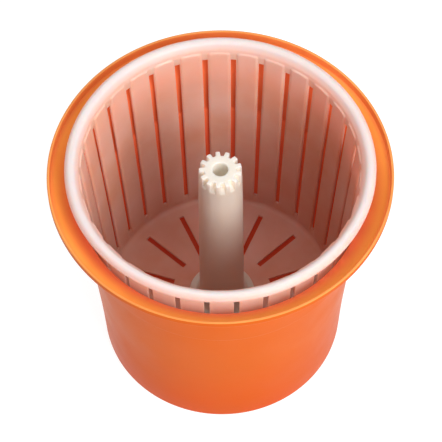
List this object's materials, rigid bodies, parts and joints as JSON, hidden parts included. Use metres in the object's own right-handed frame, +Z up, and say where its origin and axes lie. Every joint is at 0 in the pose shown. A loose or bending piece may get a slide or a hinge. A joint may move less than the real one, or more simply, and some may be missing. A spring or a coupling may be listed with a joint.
{
  "type": "salad spinner",
  "caption": "Open salad spinner: deep flared bowl, slotted translucent basket with a toothed drive column, and a lid with a geared hand crank lying beside it.",
  "frame": {"origin": "on the bowl's axis, on the surface that the bowl and the lid stand on", "axes": "+Z up along the axis of the bowl, basket and drive column; +X towards the lid that lies beside the bowl"},
  "size_m": [0.7562, 0.33, 0.2899],
  "materials": {
    "orange_pp": "satin orange polypropylene, smooth with a soft sheen",
    "lid_pp": "satin orange polypropylene, same as the bowl",
    "milky_pp": "milky translucent natural polypropylene that takes the bowl's colour",
    "off_white_pp": "opaque off-white moulded plastic",
    "crank_pp": "opaque off-white moulded plastic",
    "acetal": "machined white acetal",
    "stainless": "bright stainless steel"
  },
  "bodies": {
    "bowl": {"outer_bowl": "orange_pp", "pivot_pin": "stainless"},
    "pivot": {"pivot_washer": "acetal"},
    "basket": {"basket": "milky_pp", "drive_pinion": "off_white_pp", "foot_bearing": "acetal", "column_screw_1": "stainless", "column_screw_2": "stainless", "column_screw_3": "stainless"},
    "lid": {"lid_shell": "lid_pp", "centre_pin": "off_white_pp", "gear_guard": "off_white_pp", "guard_screw_1": "stainless", "guard_screw_2": "stainless", "guard_screw_3": "stainless"},
    "crank": {"drive_gear": "off_white_pp", "crank_shaft": "stainless", "crank_washer": "stainless", "crank_screw": "stainless", "crank_arm": "crank_pp", "knob_pin": "stainless", "knob_screw": "stainless"},
    "grip": {"knob": "crank_pp", "knob_cap": "crank_pp"}
  },
  "joints": [
    {"name": "basket_lift", "type": "slide", "parent": "bowl", "child": "pivot", "axis": [0, 0, 1], "range_m": [0, 0.3]},
    {"name": "basket_spin", "type": "hinge", "parent": "pivot", "child": "basket", "pos_m": [0, 0, 0], "axis": [0, 0, 1], "continuous": true},
    {"name": "lid_lift", "type": "slide", "parent": "bowl", "child": "lid", "axis": [0, 0, 1], "range_m": [0, 0.3]},
    {"name": "crank_turn", "type": "hinge", "parent": "lid", "child": "crank", "pos_m": [0.43, 0.0732, 0], "axis": [0, 0, 1], "continuous": true},
    {"name": "knob_spin", "type": "hinge", "parent": "crank", "child": "grip", "pos_m": [0.43, 0.0012, 0], "axis": [0, 0, 1], "continuous": true}
  ]
}
